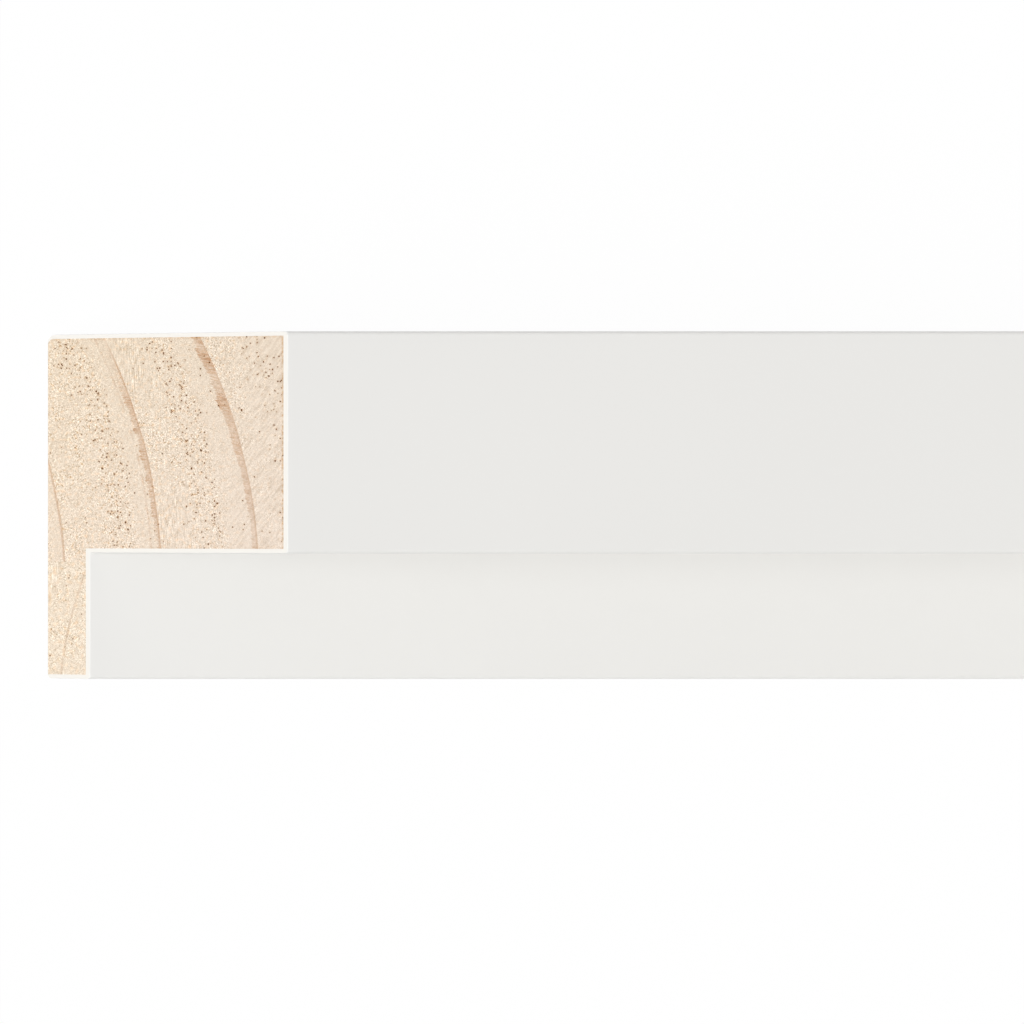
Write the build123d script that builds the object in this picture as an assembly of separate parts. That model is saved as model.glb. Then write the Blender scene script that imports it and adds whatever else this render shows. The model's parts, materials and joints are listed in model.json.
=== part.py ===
"""A length of floater frame moulding: an L-shaped strip of white-coated pine, mitred at one end.

The blank is glued up from two strips of pine. A deep block carries the ledge that a stretched
canvas is screwed to, and a thin strip glued to its front stands as the lip round the canvas.
The moulding lies on its outer side: X runs along the stock, +Y points to the rear of the frame
(the wall), -Y to the front edge of the lip, and +Z from the outer side to the picture.
The origin is the middle of the outer side.
"""

import os
from math import cos, radians, sin

from build123d import *

# Driving dimensions, in millimetres and degrees, with the coat included.
stock_length = 2400.0  # along the outer side, from the tip of the mitre to the square end
frame_width = 32.0  # from the outer side to the inner face of the ledge block
frame_depth = 45.0  # from the front edge of the lip to the rear face
lip_thickness = 5.7  # the narrow edge that shows round the canvas
rebate_depth = 16.5  # from the front edge of the lip back to the ledge
glue_line_offset = 1.2  # the rebate is cut this far past the glue line, into the block
mitre_angle = 45.0  # away from a square cut

# Eased edges
rear_outer_radius = 1.0  # sanded edge between the rear face and the outer side
rear_inner_radius = 0.5  # edge between the rear face and the inner face
ledge_edge_radius = 0.4  # edge between the inner face and the ledge
lip_inner_radius = 0.4  # front edge of the lip, towards the canvas
lip_outer_radius = 0.5  # front edge of the lip, towards the outer side

# Places across the section that follow from the sizes above
rear_y = frame_depth / 2
front_y = -frame_depth / 2
ledge_y = front_y + rebate_depth
glue_line_y = ledge_y - glue_line_offset
tip_x = -stock_length / 2


def section(corners):
    """A closed outline in the Y-Z plane from (y, z, radius) corners, each eased by its radius."""
    outline = make_face(Polyline(*[(y, z) for y, z, _ in corners], close=True))
    for y, z, radius in corners:
        if radius > 0:
            corner = outline.vertices().sort_by_distance((y, z, 0))[0]
            outline = fillet(corner, radius)
    return outline


def stock(outline):
    """The section run along the full length, then sawn off at the mitre."""
    strip = extrude(Plane.YZ.offset(tip_x) * outline, stock_length)
    turn = radians(mitre_angle)
    saw_cut = Plane(origin=(tip_x, 0, 0), x_dir=(0, 1, 0), z_dir=(-cos(turn), 0, sin(turn)))
    return split(strip, bisect_by=saw_cut, keep=Keep.BOTTOM)


def ledge_block():
    """The deep strip, with the ledge and the root of the lip that the rebate cutter leaves."""
    return stock(
        section(
            [
                (glue_line_y, 0, 0),
                (rear_y, 0, rear_outer_radius),
                (rear_y, frame_width, rear_inner_radius),
                (ledge_y, frame_width, ledge_edge_radius),
                (ledge_y, lip_thickness, 0),
                (glue_line_y, lip_thickness, 0),
            ]
        )
    )


def lip_strip():
    """The thin strip glued to the front of the block."""
    return stock(
        section(
            [
                (front_y, 0, lip_outer_radius),
                (glue_line_y, 0, 0),
                (glue_line_y, lip_thickness, 0),
                (front_y, lip_thickness, lip_inner_radius),
            ]
        )
    )


os.makedirs("parts", exist_ok=True)
for name, piece in (("ledge_block", ledge_block()), ("lip_strip", lip_strip())):
    export_step(piece, f"parts/{name}.step")
    box = piece.bounding_box()
    print(name, f"{piece.volume / 1000:.1f} cm3", "from", tuple(box.min), "to", tuple(box.max))
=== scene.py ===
# %% [markdown]
# # A length of floater frame moulding
# A floater frame is the plain L-shaped frame that a stretched canvas seems to float in. This is one
# stick of it, as the moulder sells it: two strips of pine glued into an L, coated white all round
# and sawn at 45 degrees at one end, where the bare end grain shows. The stick lies on its outer
# side. X runs along it, +Y points to the rear of the frame, -Y to the front edge of the lip, and +Z
# to the picture.

# %% The fixed frame
import json
from math import cos, pi, radians, sin

import bpy
import numpy as np
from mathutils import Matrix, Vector


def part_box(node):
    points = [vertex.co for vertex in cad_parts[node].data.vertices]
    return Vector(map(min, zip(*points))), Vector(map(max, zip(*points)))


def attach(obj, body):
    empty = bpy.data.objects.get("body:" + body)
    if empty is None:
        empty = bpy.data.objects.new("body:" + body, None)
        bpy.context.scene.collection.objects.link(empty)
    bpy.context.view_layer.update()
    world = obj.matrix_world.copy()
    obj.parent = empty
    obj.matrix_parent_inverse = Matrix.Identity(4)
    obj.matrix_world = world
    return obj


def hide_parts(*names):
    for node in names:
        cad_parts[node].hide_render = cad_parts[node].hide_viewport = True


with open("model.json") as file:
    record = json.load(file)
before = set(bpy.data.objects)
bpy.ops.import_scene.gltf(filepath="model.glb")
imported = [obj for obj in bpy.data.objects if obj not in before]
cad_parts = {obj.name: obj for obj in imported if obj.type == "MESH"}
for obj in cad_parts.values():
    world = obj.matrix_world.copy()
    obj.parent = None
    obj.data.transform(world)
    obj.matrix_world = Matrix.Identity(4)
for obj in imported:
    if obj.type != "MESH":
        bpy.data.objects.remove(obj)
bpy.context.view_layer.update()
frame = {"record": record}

# %% [markdown]
# ## Sizes
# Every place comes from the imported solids, so the finish can't drift away from them. The boxes of
# the two strips give the section, and the ledge and the slope of the mitre are faces that the
# record states as mounts. Metres are awkward for a coat half a millimetre thick, so the section is
# drawn in millimetres, and the last step of each piece scales it to metres.

# %% Sizes of the section, in millimetres
MM = 1000.0  # millimetres in a metre
block_low, block_high = (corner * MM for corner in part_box("ledge_block"))
lip_low, lip_high = (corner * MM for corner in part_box("lip_strip"))
mounts = {mount["name"]: mount for mount in frame["record"]["mounts"]}

tip_x = block_low.x  # the sharp tip of the mitre, on the outer side
length = block_high.x - block_low.x
rear_y = block_high.y
front_y = lip_low.y
glue_y = block_low.y
ledge_y = mounts["canvas_ledge"]["pos_m"][1] * MM
inner_z = block_high.z
lip_z = lip_high.z
mitre_axis = mounts["mitre_face"]["axis"]
mitre_slope = -mitre_axis[2] / mitre_axis[0]  # along the stick for each millimetre of height
print(f"section {rear_y - front_y:.1f} x {inner_z:.1f} mm, lip {lip_z:.1f} mm, {length:.0f} mm long")

# %% [markdown]
# ## Camera
# The photo looks straight down on the stick from a long way off. On the mitre, the outer side is
# drawn only 2% smaller than the inner face 32 mm above it, and that gives the distance. Counting
# pixels along the section then gives the scale, and from the two comes the lens.

# %% Camera
PICTURE = 1024  # pixels along a side of the picture
PIXELS_PER_MM = 7.79  # on the inner face
CAMERA_HEIGHT = 1562.0  # mm above the inner face
CAMERA_FROM_TIP = 60.80  # mm along the stick, where the picture has its middle
CAMERA_Y = -0.705  # mm
SENSOR = 36.0  # mm, the width of the film
FAR_CLIP = 200.0  # m

camera_data = bpy.data.cameras.new("camera")
camera_data.sensor_width = SENSOR
camera_data.lens = PIXELS_PER_MM * CAMERA_HEIGHT * SENSOR / PICTURE
camera_data.clip_end = FAR_CLIP
camera = bpy.data.objects.new("camera", camera_data)
camera.location = Vector((tip_x + CAMERA_FROM_TIP, CAMERA_Y, inner_z + CAMERA_HEIGHT)) / MM
bpy.context.scene.collection.objects.link(camera)
bpy.context.scene.camera = camera
print(f"lens {camera_data.lens:.0f} mm, {camera.location.z:.2f} m above the floor")


# %% [markdown]
# ## Three helpers
# Node trees are easier to read when each node is one line. `add` makes a node, sets its properties
# and fills its sockets: with a plain value, or with a link from another node's output. A node given
# as it is stands for its first output in use. `linear` turns a colour as a paint chart writes it
# into the linear light that shaders work in. `new_finish` starts a material, with the values that
# are the same all over it.

# %% Helpers for nodes, colours and materials
def add(tree, kind, sockets=None, **settings):
    """Add one node. A socket takes a plain value, another node, or one output of another node."""
    made = tree.nodes.new(kind)
    for name, value in settings.items():
        setattr(made, name, value)
    for key, value in (sockets or {}).items():
        if isinstance(value, bpy.types.Node):
            value = next(socket for socket in value.outputs if socket.enabled)
        if isinstance(value, bpy.types.NodeSocket):
            tree.links.new(value, made.inputs[key])
        else:
            made.inputs[key].default_value = value
    return made


def linear(code):
    """The linear RGBA of an sRGB hex colour."""
    parts = [int(code[at : at + 2], 16) / 255 for at in (1, 3, 5)]
    curve = [c / 12.92 if c <= 0.04045 else ((c + 0.055) / 1.055) ** 2.4 for c in parts]
    return (*curve, 1.0)


def new_finish(name, even):
    """A new material with these even values on its shader, and the tree and shader to go on with."""
    material = bpy.data.materials.new(name)
    material.use_nodes = True
    shader = material.node_tree.nodes["Principled BSDF"]
    for socket, value in even.items():
        shader.inputs[socket].default_value = value
    return material, material.node_tree, shader


print("white #E8E7E4 is", [round(c, 3) for c in linear("#E8E7E4")], "in linear light")


# %% [markdown]
# ## The years of the pine
# Pine grows a pale, soft earlywood each spring and closes the year with a thin, hard, brown band of
# latewood, sharp on its outer side. On a sawn end the years are arcs round the pith, the middle of
# the trunk, which here lies outside the strip. The trunk leaned as it grew, so the middle of the
# arcs wanders from year to year. Painted rings would fit one end only. A rule for the radius fits
# both ends and drives the colour as well as the relief, so one function writes it into any tree.

# %% Where and when each bit of wood grew
NOISE_MEAN = 0.5  # a noise swings about this


def growth(tree, place, wood):
    """Nodes for the wood at a place in mm: its spot across the stock, and where it lies in its year."""
    across = add(tree, "ShaderNodeVectorMath", {0: place, 1: (0, 1, 1)}, operation="MULTIPLY")
    bend = add(tree, "ShaderNodeTexNoise", {"Vector": across, "Scale": 1 / wood["bend_size"], "Detail": 1.0})
    middle = (NOISE_MEAN, NOISE_MEAN, NOISE_MEAN)
    bend = add(tree, "ShaderNodeVectorMath", {0: bend.outputs["Color"], 1: middle}, operation="SUBTRACT")
    most = (0, wood["bend"], wood["bend"])
    bend = add(tree, "ShaderNodeVectorMath", {0: bend, 1: most}, operation="MULTIPLY")
    bent = add(tree, "ShaderNodeVectorMath", {0: across, 1: bend}, operation="ADD")

    arm = add(tree, "ShaderNodeVectorMath", {0: bent, 1: wood["pith"]}, operation="SUBTRACT")
    reach = add(tree, "ShaderNodeVectorMath", {0: arm}, operation="LENGTH")
    later = add(tree, "ShaderNodeMath", {0: reach, 1: wood["lean_from"]}, operation="SUBTRACT")
    later = add(tree, "ShaderNodeMath", {0: later, 1: 0.0}, operation="MAXIMUM")
    stray = add(tree, "ShaderNodeMath", {0: later, 1: wood["lean"]}, operation="MULTIPLY")
    wander = add(tree, "ShaderNodeCombineXYZ", {"Y": stray})
    arm = add(tree, "ShaderNodeVectorMath", {0: arm, 1: wander}, operation="SUBTRACT")

    radius = add(tree, "ShaderNodeVectorMath", {0: arm}, operation="LENGTH")
    parts = add(tree, "ShaderNodeSeparateXYZ", {0: arm})
    angle = add(tree, "ShaderNodeMath", {0: parts.outputs["Y"], 1: parts.outputs["Z"]}, operation="ARCTAN2")
    around = add(tree, "ShaderNodeMath", {0: angle, 1: radius}, operation="MULTIPLY")
    aside = add(tree, "ShaderNodeMath", {0: angle, 1: wood["bulge_at"]}, operation="SUBTRACT")
    aside = add(tree, "ShaderNodeMath", {0: aside, 1: aside}, operation="MULTIPLY")
    after = add(tree, "ShaderNodeMath", {0: later, 1: wood["bulge"]}, operation="MULTIPLY")
    round_radius = add(tree, "ShaderNodeMath", {0: aside, 1: after, 2: radius}, operation="MULTIPLY_ADD")
    grown = add(tree, "ShaderNodeMath", {0: round_radius, 1: wood["first_ring"]}, operation="SUBTRACT")
    even = add(tree, "ShaderNodeMath", {0: grown, 1: wood["ring_width"]}, operation="DIVIDE")
    past = add(tree, "ShaderNodeMath", {0: even, 1: 1.0}, operation="SUBTRACT")
    past = add(tree, "ShaderNodeMath", {0: even, 1: past}, operation="MULTIPLY")
    years = add(tree, "ShaderNodeMath", {0: past, 1: wood["narrowing"], 2: even}, operation="MULTIPLY_ADD")
    count = add(tree, "ShaderNodeMath", {0: years}, operation="FLOOR")
    share = add(tree, "ShaderNodeMath", {0: years, 1: count}, operation="SUBTRACT")
    rest = add(tree, "ShaderNodeMath", {0: 1.0, 1: share}, operation="SUBTRACT")
    inside = add(tree, "ShaderNodeMath", {0: rest, 1: wood["ring_width"]}, operation="MULTIPLY")
    return {
        "across": across,
        "angle": angle,  # round the pith
        "polar": add(tree, "ShaderNodeCombineXYZ", {"X": around, "Y": radius}),  # mm, round and outwards
        "count": count,  # whole years since the first ring that shows
        "share": share,  # of the year that had passed
        "inside": inside,  # mm to the outer edge of the year
    }


block_wood = {
    "pith": (0.0, -10.8, -57.8),  # mm, well outside the section
    "lean": -0.26,  # mm that the middle wanders for each mm of growth
    "lean_from": 73.0,  # mm, the radius up to which it is at the pith given
    "first_ring": 60.25,  # mm, radius of the first dark ring that shows
    "ring_width": 13.06,  # mm from the first ring to the second, in fast-grown plantation pine
    "narrowing": -0.0075,  # how much sooner each later ring comes, or later if below 0
    "bulge": 1.1,  # mm for each mm of growth, a radian aside: later rings bulge in the middle
    "bulge_at": 0.22,  # radians round the pith, the middle of the bulge
    "bend": 0.3,  # mm that a ring strays from a true circle
    "bend_size": 9.0,  # mm, the length of such a bend
}
lip_wood = {
    "pith": (0.0, -27.5, 52.0),
    "lean": 0.0,
    "lean_from": 0.0,
    "first_ring": 50.7,
    "ring_width": 3.1,
    "narrowing": 0.0,
    "bulge": 0.0,
    "bulge_at": 0.0,
    "bend": 0.4,
    "bend_size": 6.0,
}
print(f"the first two rings of the block are {block_wood['ring_width']:.1f} mm apart")


# %% [markdown]
# ## Latewood
# Close up, the dark band isn't a clean stripe. Its outer edge is sharp and solid, where growth stopped
# for the winter. Inside that strand the band swells and shrinks along the ring and is hatched by short
# strokes that point at the pith, and a dry spell can leave a thin false ring just inside it. Round
# the ring the inside of the band fades away before its solid edge does. Each of these is a noise in
# polar millimetres, so it can be stretched along the ring or across it.

# %% The dark band of each year
STROKE_WIDTH = 0.17  # mm round the ring
STROKE_LENGTH = 1.2  # mm across it
STROKES_PALE, STROKES_DARK = 0.36, 0.62  # of the strokes' noise, between strokes and on them
SWELL_LENGTH = 3.0  # mm along the ring, a wide or a narrow stretch
SWELL_NARROW, SWELL_WIDE = 0.35, 0.6  # of the swell's noise
DASH_FROM, DASH_FULL = 0.42, 0.56  # of the swell's noise, where a broken line begins and is full
PATCHY = 0.6  # the darkness of the band in its narrow stretches
FULL_WITHIN = 0.85  # of its width, inside which the band is full
STRAND_WIDTH = 0.36  # mm, the solid outer edge
OTHER_STRANDS = 0.85  # how dark that edge is in other years than the main one
FALSE_RING_IN = 1.3  # mm inside the year's edge
FALSE_RING_WIDTH = 0.22  # mm
SAME_YEAR = 0.5  # two counts of years that differ by less are one year


def latewood(tree, year, look):
    """Nodes for the density of the wood: 1 in the dark band, 0 in the rest of the year."""
    fine = (1 / STROKE_WIDTH, 1 / STROKE_LENGTH, 0)
    strokes = add(tree, "ShaderNodeVectorMath", {0: year["polar"], 1: fine}, operation="MULTIPLY")
    stroke = add(tree, "ShaderNodeTexNoise", {"Vector": strokes, "Scale": 1.0, "Detail": 2.0})
    stretches = {"Vector": year["polar"], "Scale": 1 / SWELL_LENGTH, "Detail": 1.0}
    swell = add(tree, "ShaderNodeTexNoise", stretches)
    same = {0: year["count"], 1: look["main_year"], 2: SAME_YEAR}
    main_year = add(tree, "ShaderNodeMath", same, operation="COMPARE")

    # The body of the band: wider each year, wide and narrow by turns, frayed and hatched.
    later = {0: year["count"], 1: -look["rise_step"], 2: year["angle"]}
    rise = add(tree, "ShaderNodeMath", later, operation="MULTIPLY_ADD")
    rise = add(
        tree,
        "ShaderNodeMapRange",
        {
            "Value": rise,
            "From Min": look["rise_from"],
            "From Max": look["rise_to"],
            "To Min": look["low_strength"],
        },
        interpolation_type="SMOOTHSTEP",
    )
    width = look["band"] - look["fray"] / 2 - look["swell"] / 2
    for value, by in ((year["count"], "band_step"), (stroke, "fray"), (swell, "swell")):
        width = add(tree, "ShaderNodeMath", {0: value, 1: look[by], 2: width}, operation="MULTIPLY_ADD")
    width = add(tree, "ShaderNodeMath", {0: width, 1: rise}, operation="MULTIPLY")
    width = add(tree, "ShaderNodeMath", {0: width, 1: STRAND_WIDTH}, operation="MAXIMUM")
    full = add(tree, "ShaderNodeMath", {0: width, 1: FULL_WITHIN}, operation="MULTIPLY")
    body = add(
        tree,
        "ShaderNodeMapRange",
        {"Value": year["inside"], "From Min": width, "From Max": full},
        interpolation_type="SMOOTHSTEP",
    )
    hatch = add(
        tree,
        "ShaderNodeMapRange",
        {"Value": stroke, "From Min": STROKES_PALE, "From Max": STROKES_DARK, "To Min": look["hatch"]},
    )
    patchy = add(
        tree,
        "ShaderNodeMapRange",
        {"Value": swell, "From Min": SWELL_NARROW, "From Max": SWELL_WIDE, "To Min": PATCHY},
    )
    grown_up = add(tree, "ShaderNodeMath", {0: year["count"], 1: look["body_from"]}, operation="GREATER_THAN")

    # Further round the ring of the main year its body fades first, and then the whole band.
    body_fade, band_fade = (
        add(
            tree,
            "ShaderNodeMapRange",
            {"Value": year["angle"], "From Min": gone, "From Max": start, "To Min": look["high_strength"]},
            interpolation_type="SMOOTHSTEP",
        )
        for start, gone in ((look["fall_from"], look["fall_to"]), (look["fall_to"], look["edge_to"]))
    )
    body_fade = add(tree, "ShaderNodeMapRange", {"Value": main_year, "To Min": 1.0, "To Max": body_fade})
    for factor in (hatch, rise, patchy, grown_up, body_fade):
        body = add(tree, "ShaderNodeMath", {0: body, 1: factor}, operation="MULTIPLY")

    # The solid strand, which can be faint in stretches, and how strong each year is.
    half = STRAND_WIDTH / 2
    strand = add(
        tree,
        "ShaderNodeMapRange",
        {"Value": year["inside"], "From Min": STRAND_WIDTH, "From Max": half, "To Max": look["strand"]},
    )
    other = add(tree, "ShaderNodeMapRange", {"Value": main_year, "To Min": OTHER_STRANDS})
    dashes = {"Value": swell, "From Min": DASH_FROM, "From Max": DASH_FULL}
    steady = add(tree, "ShaderNodeMapRange", {**dashes, "To Min": look["steady"]})
    for factor in (other, steady):
        strand = add(tree, "ShaderNodeMath", {0: strand, 1: factor}, operation="MULTIPLY")
    dark = add(tree, "ShaderNodeMath", {0: body, 1: strand}, operation="MAXIMUM")
    yearly = {"Value": main_year, "To Min": look["other_years"], "To Max": band_fade}
    strength = add(tree, "ShaderNodeMapRange", yearly)
    dark = add(tree, "ShaderNodeMath", {0: dark, 1: strength}, operation="MULTIPLY")

    # The false ring of the main year, broken into dashes.
    off = add(tree, "ShaderNodeMath", {0: year["inside"], 1: FALSE_RING_IN}, operation="SUBTRACT")
    off = add(tree, "ShaderNodeMath", {0: off}, operation="ABSOLUTE")
    false_ring = add(
        tree,
        "ShaderNodeMapRange",
        {"Value": off, "From Min": FALSE_RING_WIDTH, "From Max": 0.0, "To Max": look["false_ring"]},
    )
    dash = add(tree, "ShaderNodeMapRange", dashes)
    for factor in (dash, hatch, main_year):
        false_ring = add(tree, "ShaderNodeMath", {0: false_ring, 1: factor}, operation="MULTIPLY")
    return add(tree, "ShaderNodeMath", {0: dark, 1: false_ring}, operation="MAXIMUM")


print(f"the solid edge of a ring is {STRAND_WIDTH} mm wide, its false ring {FALSE_RING_IN} mm inside it")

# %% [markdown]
# ## The tracks of the saw
# The teeth of the saw leave slanting tracks on the cut. They are fine scores, some deeper than
# others, so a noise that is stretched along the track and squeezed across it does better than an
# even wave. They are clear near the inner face, where the teeth came out, and faint elsewhere.

# %% Tracks of the saw
TRACK_SLANT = radians(-38)  # turns the tracks' direction onto Y
TRACK_PITCH = 0.7  # mm from track to track
TRACK_LENGTH = 2.2  # mm that a track stays the same
TRACKS_FROM, TRACKS_TO = 23.0, 28.0  # mm from the outer side, where the tracks become clear
TRACKS_LEAST = 0.25


def saw_tracks(tree, across):
    """Nodes for the tracks of the teeth, from about -0.5 to 0.5, and for how clear they are."""
    slant = {"Vector": across, "Angle": TRACK_SLANT}
    turned = add(tree, "ShaderNodeVectorRotate", slant, rotation_type="X_AXIS")
    size = (0, 1 / TRACK_LENGTH, 2 / TRACK_PITCH)
    stretched = add(tree, "ShaderNodeVectorMath", {0: turned, 1: size}, operation="MULTIPLY")
    score = add(tree, "ShaderNodeTexNoise", {"Vector": stretched, "Scale": 1.0, "Detail": 1.0})
    score = add(tree, "ShaderNodeMath", {0: score, 1: NOISE_MEAN}, operation="SUBTRACT")
    height = add(tree, "ShaderNodeSeparateXYZ", {0: across}).outputs["Z"]
    clear = add(
        tree,
        "ShaderNodeMapRange",
        {"Value": height, "From Min": TRACKS_FROM, "From Max": TRACKS_TO, "To Min": TRACKS_LEAST},
        interpolation_type="SMOOTHSTEP",
    )
    return add(tree, "ShaderNodeMath", {0: score, 1: clear}, operation="MULTIPLY"), clear


print(f"tracks of the saw {TRACK_PITCH} mm apart")

# %% [markdown]
# ## The cut tubes
# Pine end grain is a bundle of open tubes, cut across. A single tube is only 0.03 mm wide, too fine
# to show, so the speckle stands for small bundles of tubes: cells about a pixel wide, each with a
# tone of its own. In places the saw has dragged the fibres over from front to rear, and the speckle is
# drawn out into streaks. It is quieter in the dense wood just before the dark band, and where clear
# tracks of the saw have smeared it, and elsewhere calm and rough patches follow each other.

# %% Speckle of cut tubes
SPECK_POWER = 3.0  # an odd power keeps most specks near the mean and leaves a few strong ones
STREAK_WIDTH = 0.14  # mm
STREAK_LENGTH = 1.4  # mm, from front to rear
STREAKS_FROM, STREAKS_TO = 0.55, 0.25  # of a year, where streaks begin and where they are full
UNSTREAKED_AT = 0.265  # radians round the pith, the middle of a stretch without streaks
UNSTREAKED_HALF = 0.11  # radians to either side, where the streaks are full again
STREAKED = 0.5  # of the speckle is left among full streaks
MOTTLE = 0.7  # mm, the size of a softer or harder spot
SMEARED = 0.45  # of the speckle is left where the tracks are clearest
OPEN_WOOD = 1.4  # times the width of the quiet wood, where the speckle is full again
ROUGH_PATCH = 2.5  # mm, the size of a calm or a rough patch
CALM_FROM, ROUGH_FROM = 0.35, 0.65  # of the noise, the calmest and the roughest
CALM, ROUGH = 0.8, 1.2  # how loud the speckle is there


def cut_tubes(tree, year, look, clear):
    """Nodes for the speckle of the end grain, about 0 on average, and for how loud it is."""
    cells = add(tree, "ShaderNodeTexVoronoi", {"Vector": year["across"], "Scale": 1 / look["bundle"]})
    tone = add(tree, "ShaderNodeSeparateColor", {0: cells.outputs["Color"]}).outputs["Red"]
    tone = add(tree, "ShaderNodeMapRange", {"Value": tone, "To Min": -1.0})
    tone = add(tree, "ShaderNodeMath", {0: tone, 1: SPECK_POWER}, operation="POWER")
    tone = add(tree, "ShaderNodeMath", {0: tone, 1: look["speckle"]}, operation="MULTIPLY")

    # Streaks: in the soft wood at the start of one year, above and below a stretch without them.
    early = {"Value": year["share"], "From Min": STREAKS_FROM, "From Max": STREAKS_TO}
    drag = add(tree, "ShaderNodeMapRange", early)
    same = {0: year["count"], 1: look["streaked_year"], 2: SAME_YEAR}
    that_year = add(tree, "ShaderNodeMath", same, operation="COMPARE")
    aside = add(tree, "ShaderNodeMath", {0: year["angle"], 1: UNSTREAKED_AT}, operation="SUBTRACT")
    aside = add(tree, "ShaderNodeMath", {0: aside}, operation="ABSOLUTE")
    aside = add(
        tree,
        "ShaderNodeMapRange",
        {"Value": aside, "From Min": UNSTREAKED_HALF / 3, "From Max": UNSTREAKED_HALF},
    )
    for factor in (that_year, aside):
        drag = add(tree, "ShaderNodeMath", {0: drag, 1: factor}, operation="MULTIPLY")
    size = (0, 1 / STREAK_LENGTH, 1 / STREAK_WIDTH)
    drawn = add(tree, "ShaderNodeVectorMath", {0: year["across"], 1: size}, operation="MULTIPLY")
    streak = add(tree, "ShaderNodeTexNoise", {"Vector": drawn, "Scale": 1.0, "Detail": 1.0})
    streaked = add(tree, "ShaderNodeMath", {0: drag, 1: look["streak"]}, operation="MULTIPLY")
    left = add(tree, "ShaderNodeMapRange", {"Value": drag, "To Min": 1.0, "To Max": STREAKED})

    mottle = add(tree, "ShaderNodeTexNoise", {"Vector": year["across"], "Scale": 1 / MOTTLE, "Detail": 2.0})
    total = add(tree, "ShaderNodeMath", {0: tone, 1: left}, operation="MULTIPLY")
    for noise, strength in ((streak, streaked), (mottle, look["mottle"])):
        swing = add(tree, "ShaderNodeMath", {0: noise, 1: NOISE_MEAN}, operation="SUBTRACT")
        total = add(tree, "ShaderNodeMath", {0: swing, 1: strength, 2: total}, operation="MULTIPLY_ADD")

    # How loud: quiet in the dense wood, smeared by clear tracks, calm and rough by patches.
    denser = {0: year["count"], 1: look["dense_step"], 2: look["dense"]}
    dense = add(tree, "ShaderNodeMath", denser, operation="MULTIPLY_ADD")
    open_wood = add(tree, "ShaderNodeMath", {0: dense, 1: OPEN_WOOD}, operation="MULTIPLY")
    loud = add(
        tree,
        "ShaderNodeMapRange",
        {"Value": year["inside"], "From Min": dense, "From Max": open_wood, "To Min": look["dense_speckle"]},
        interpolation_type="SMOOTHSTEP",
    )
    smear = add(
        tree,
        "ShaderNodeMapRange",
        {"Value": clear, "From Min": TRACKS_LEAST, "To Min": 1.0, "To Max": SMEARED},
    )
    patches = {"Vector": year["across"], "Scale": 1 / ROUGH_PATCH, "Detail": 0.0}
    rough = add(tree, "ShaderNodeTexNoise", patches)
    rough = add(
        tree,
        "ShaderNodeMapRange",
        {"Value": rough, "From Min": CALM_FROM, "From Max": ROUGH_FROM, "To Min": CALM, "To Max": ROUGH},
    )
    for factor in (smear, rough):
        loud = add(tree, "ShaderNodeMath", {0: loud, 1: factor}, operation="MULTIPLY")
    return add(tree, "ShaderNodeMath", {0: total, 1: loud}, operation="MULTIPLY"), loud


print(f"streaks {STREAK_WIDTH} mm wide, calm and rough patches of {ROUGH_PATCH} mm")


# %% [markdown]
# ## Bare sawn pine
# On the real stick the pine is bare only where the saw went through. It is matt and warm, banded by
# the years and speckled by the tubes. A thin line beside the lacquer is browner, where the spray
# soaked in, and the dark band has soaked up more of it. Round each resin canal the wood is stained
# too. The fibres run along the stick, so the material ignores X and both ends show the same wood, as
# they would on a short offcut. A dark speck is also a more orange one, so the speckle works harder on
# blue than on red, and a second, softer mottle makes spots orange without making them dark. The wood
# is a little paler towards the front and pinker towards the inner face. A few of the saw's tracks are
# scratches, deep enough to show brown.

# %% Bare pine
SPECKLE_TINT = (0.80, 0.99, 1.22)  # how far the speckle moves red, green and blue
BLUSH_TINT = (0.075, -0.01, -0.11)  # how far a spot of blush moves them
BLUSH_FROM, BLUSH_FULL = 0.5, 0.8  # of the noise
INNER_TINT = (-0.022, -0.014, 0.030)  # how far they move from the outer side to the inner face
SEEP = 1.0  # how brown the wood is round a resin canal
SOAK_SPOT = 0.5  # mm, the line of soaked wood comes in spots
DRY_FROM, WET_FROM = 0.38, 0.65  # of the spots' noise, the driest and the wettest
DRY, WET = 0.15, 1.4  # how much of the stain is there
THIRST = 4.0  # how much more the dark band has soaked up than the pale wood
SCRATCH = 0.18  # how far a scratch darkens the wood
SCRATCH_FROM, SCRATCH_FULL = 0.15, 0.22  # of the tracks' noise


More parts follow.
